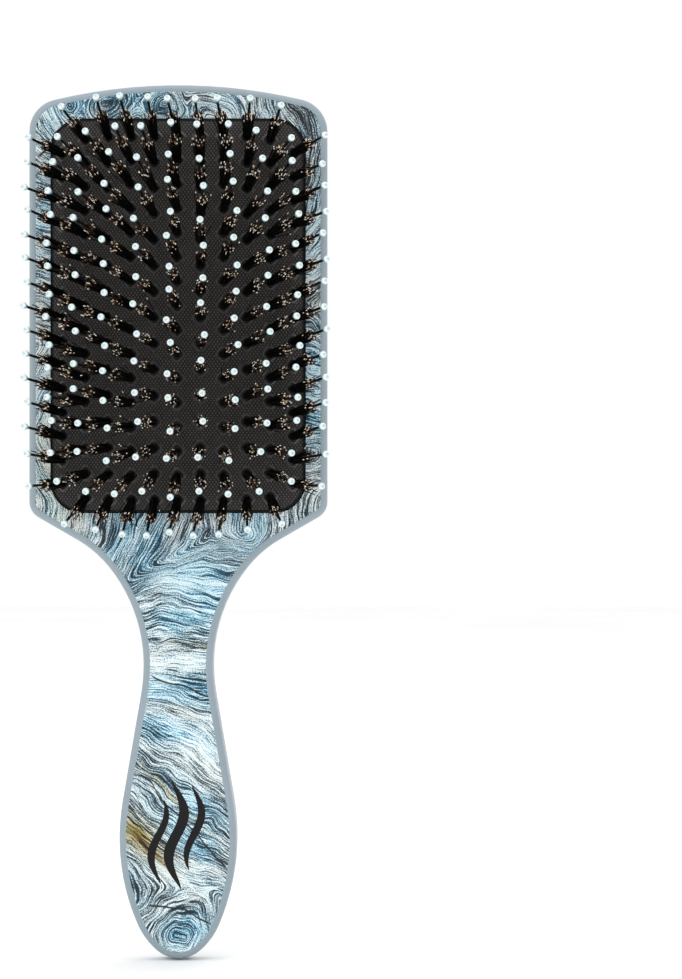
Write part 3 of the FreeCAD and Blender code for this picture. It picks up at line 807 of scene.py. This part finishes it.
def dome_mesh():
    """Rings from the cushion's middle to its outline, and a lip that turns back into the window's gap."""
    line = window_line()
    points = [(0, cushion_y(0, 0), 0)]
    for ring in range(1, DOME_RINGS + 1):
        share = math.sin(math.pi / 2 * ring / DOME_RINGS)
        points += [(x * share, cushion_y(x * share, z * share), z * share) for x, z in line]
    for out, back in DOME_LIP:
        scale = 1 + out * MM / WINDOW_HALF_WIDTH
        points += [(x * scale, cushion_y(x, z) + back * MM, z * scale) for x, z in line]
    sides = len(line)
    faces = [(0, 1 + side, 1 + (side + 1) % sides) for side in range(sides)]
    faces += ring_faces(1, sides, DOME_RINGS + len(DOME_LIP), inside_out=True)
    return points, faces


def collar_mesh(foot, direction, start):
    """A low lip round a tuft, slightly diamond-shaped. start is the index of its first point."""
    first, second = across_axis(direction)
    points = []
    for radius, height in COLLAR_PROFILE:
        for side in range(COLLAR_SIDES):
            angle = math.tau * side / COLLAR_SIDES
            wide = radius * (1 + COLLAR_SQUARENESS * math.cos(4 * angle)) * MM
            place = foot + first * math.cos(angle) * wide + second * math.sin(angle) * wide
            points.append((place.x, cushion_y(place.x, place.z) - height * MM, place.z))
    return points, ring_faces(start, COLLAR_SIDES, len(COLLAR_PROFILE))


def make_cushion(rubber, collar, tufts):
    """The crowned rubber and the lips round all tufts as one piece, held at its border by the casing."""
    points, faces = dome_mesh()
    dome_faces = len(faces)
    for rods in tufts.values():
        for foot, direction, _ in rods:
            lip_points, lip_faces = collar_mesh(foot + direction * PLUG_DEPTH, direction, len(points))
            points += lip_points
            faces += lip_faces
    piece = new_piece("rubber_cushion", points, faces, rubber)
    piece.data.materials.append(collar)
    for index, face in enumerate(piece.data.polygons):
        face.material_index = int(index >= dome_faces)
    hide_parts("cushion_pad")
    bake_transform(piece)


# ---------------------------------------------------------------- bristles
def hair(start, direction, length, angle, share, dice):
    """The middle line of one hair, which bows outwards and wanders a little.

    angle and share say where the hair stands: share is 0 in the tuft's middle and 1 at its border.
    """
    first, second = across_axis(direction)
    root = math.sqrt(share) * TUFT_ROOT
    stray = STRAY_SPREAD if dice.random() < STRAY_SHARE else 1.0
    spread = math.sqrt(share) * TUFT_SPREAD * dice.uniform(*SPREAD_RANGE) * stray
    outward = first * math.cos(angle) + second * math.sin(angle)
    sway = first * dice.uniform(-HAIR_WANDER, HAIR_WANDER) + second * dice.uniform(-HAIR_WANDER, HAIR_WANDER)
    line = []
    for along in HAIR_RINGS:
        bow = root + (spread - root) * along**HAIR_BOW
        line.append(start + direction * length * along + outward * bow + sway * along**2)
    return line


def tube(line, radius, sides, start):
    """A thin tube with closed ends along a line. start is the index of its first point."""
    first, second = across_axis((line[-1] - line[0]).normalized())
    points = []
    for place in line:
        points += circle(place, first, second, radius, sides)
    faces = ring_faces(start, sides, len(line))
    faces.append(tuple(start + side for side in reversed(range(sides))))
    faces.append(tuple(start + (len(line) - 1) * sides + side for side in range(sides)))
    return points, faces


def make_tufts(column, rods, material):
    """All hairs of one column's tufts as one piece."""
    dice = random.Random(column)
    points, faces, along, hue = [], [], [], []
    for foot, direction, length in rods:
        for number in range(HAIRS):
            angle = number * GOLDEN_ANGLE + dice.uniform(-ANGLE_JITTER, ANGLE_JITTER)
            reach = length * dice.uniform(*HAIR_REACH)
            line = hair(foot, direction, reach, angle, (number + 0.5) / HAIRS, dice)
            hair_points, hair_faces = tube(line, HAIR_RADIUS, HAIR_SIDES, len(points))
            points += hair_points
            faces += hair_faces
            along += [ring for ring in HAIR_RINGS for _ in range(HAIR_SIDES)]
            hue += [dice.random()] * len(hair_points)
    piece = new_piece("tuft_hairs_" + column, points, faces, material)
    mark(piece, "along", along)
    mark(piece, "hue", hue)
    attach(piece, column)
    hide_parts("bristle_tufts_" + column)


# ---------------------------------------------------------------- pin tips
def tips_of(column, rods):
    """The foot, direction and length of each pin tip, which stands on the axis of its tuft."""
    found = []
    for places in parts_of("pin_tips_" + column):
        middle = Vector(places.mean(0))
        foot, direction, _ = min(rods, key=lambda rod: (middle - rod[0]).cross(rod[1]).length)
        reach = (places - np.array(foot)) @ np.array(direction)
        found.append((foot + direction * float(reach.min()), direction, float(np.ptp(reach))))
    return found


def drop_rings(foot, direction, length):
    """The rings of a drop, from its ball to its foot: each one's centre, radius and turn, 1 at the foot."""
    ball = foot + direction * (length - BALL_RADIUS)
    found = []
    for turn in TIP_TURNS:
        around, ahead = math.sin(math.radians(turn)), math.cos(math.radians(turn))
        found.append((ball + direction * BALL_RADIUS * ahead, BALL_RADIUS * around, turn / 180))
    found.append((foot, TIP_FOOT_RADIUS, 1.0))
    return found


def make_tips(column, rods, material):
    """The drop-shaped tips of one column's pins as one piece."""
    points, faces, turns = [], [], []
    for foot, direction, length in tips_of(column, rods):
        first, second = across_axis(direction)
        end, middle_of_foot = len(points), len(points) + 1
        points += [foot + direction * length, foot]
        turns += [0.0, 1.0]
        drop = drop_rings(foot, direction, length)
        top = len(points)
        low = top + (len(drop) - 1) * TIP_SIDES
        for centre, radius, turn in drop:
            points += circle(centre, first, second, radius, TIP_SIDES)
            turns += [turn] * TIP_SIDES
        for side in range(TIP_SIDES):
            beside = (side + 1) % TIP_SIDES
            faces.append((end, top + side, top + beside))
            faces.append((middle_of_foot, low + beside, low + side))
        faces += ring_faces(top, TIP_SIDES, len(drop), inside_out=True)
    piece = new_piece("tip_drops_" + column, points, faces, material)
    mark(piece, "turn", turns)
    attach(piece, column)
    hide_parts("pin_tips_" + column)


# ---------------------------------------------------------------- emblem
def make_emblem(material):
    """Three wavy strands in ink, tapered at both ends, on the front of the grip."""
    film = frame["nodes"]["front_print_film"].data
    surface = BVHTree.FromPolygons([v.co for v in film.vertices], [p.vertices for p in film.polygons])
    wave_height, wave_length, wave_start = WAVE
    points, faces = [], []
    for shift, middle, length, half_width in STRANDS:
        start = len(points)
        for step in range(STRAND_STEPS + 1):
            share = step / STRAND_STEPS
            z = middle + length * (share - 0.5)
            x = shift + wave_height * math.sin(math.tau * (z - wave_start) / wave_length)
            wide = half_width * math.sin(math.pi * share) ** STRAND_TAPER + STRAND_END
            for side in (-1, 1):
                place = Vector(((x + side * wide) * MM, 4 * FRONT, z * MM))
                hit = surface.ray_cast(place, Vector((0, 1, 0)))[0]
                points.append((place.x, hit.y - INK_LIFT, place.z))
        for step in range(STRAND_STEPS):
            here = start + 2 * step
            faces.append((here, here + 1, here + 3, here + 2))
    piece = new_piece("grip_emblem", points, faces, material)
    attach(piece, "casing")


# ---------------------------------------------------------------- stage
def area_light(name, place, target, size, watts):
    lamp = bpy.data.lights.new(name, "AREA")
    lamp.shape = "DISK"
    lamp.size = size
    lamp.energy = watts
    light = bpy.data.objects.new(name, lamp)
    light.location = place
    light.rotation_euler = (Vector(target) - Vector(place)).to_track_quat("-Z", "Y").to_euler()
    bpy.context.scene.collection.objects.link(light)


def make_stage():
    """A white floor under the handle's end, a white surround and three soft lights."""
    low, high = Vector(cad_box[0]), Vector(cad_box[1])
    g = Graph("floor_white")
    cloud = g.noise(g.place, 6.0, 2.0)
    g.set(Base_Color=g.ramp(cloud, [(0.3, srgb(250, 250, 250)), (0.7, srgb(254, 254, 254))]), Roughness=0.9)
    half, height = FLOOR_HALF_SIZE, low.z - FLOOR_GAP
    corners = [(-half, -half, height), (half, -half, height), (half, half, height), (-half, half, height)]
    floor = new_piece("floor", corners, [(0, 1, 2, 3)], g.material)
    world = bpy.data.worlds.new("studio")
    world.use_nodes = True
    background = world.node_tree.nodes["Background"]
    background.inputs["Color"].default_value = (1, 1, 1, 1)
    background.inputs["Strength"].default_value = 1.0
    bpy.context.scene.world = world
    for name, place, size, watts in LIGHTS:
        area_light(name, place, (low + high) / 2, size, watts)


def make_camera():
    """Looks square at the front, with the brush in the left half of the frame."""
    camera = bpy.data.cameras.new("camera")
    camera.sensor_width = SENSOR_SIZE
    camera.lens = SENSOR_SIZE * CAMERA_DISTANCE / FRAME_HEIGHT
    camera.clip_start = CLIP_START
    holder = bpy.data.objects.new("camera", camera)
    holder.location = (CAMERA_ACROSS, FRONT - CAMERA_DISTANCE, CAMERA_ALONG)
    holder.rotation_euler = (math.radians(90), 0, 0)
    bpy.context.scene.collection.objects.link(holder)
    bpy.context.scene.camera = holder
    bpy.context.scene.view_settings.view_transform = "Standard"


# ---------------------------------------------------------------- the whole brush
make_camera()
make_stage()
shell = shell_material()
for node in ("front_shell", "back_shell"):
    paint(node, shell)
paint("front_print_film", print_material("front_print", 1, FRONT_SHIFT))
paint("back_print_film", print_material("back_print", -1, BACK_SHIFT))
plain_dark = plain_dark_material()
paint("pad_clamp_frame", plain_dark)
pin = pin_material()
tip = tip_material()
bristle = bristle_material()
tufts = {column: axes_of("bristle_tufts_" + column) for column in COLUMNS}
for column in COLUMNS:
    paint("tuft_anchors_" + column, plain_dark)
    paint("pin_shafts_" + column, pin)
    make_tufts(column, tufts[column], bristle)
    make_tips(column, tufts[column], tip)
make_cushion(cushion_material(), collar_material(), tufts)
make_emblem(emblem_material())
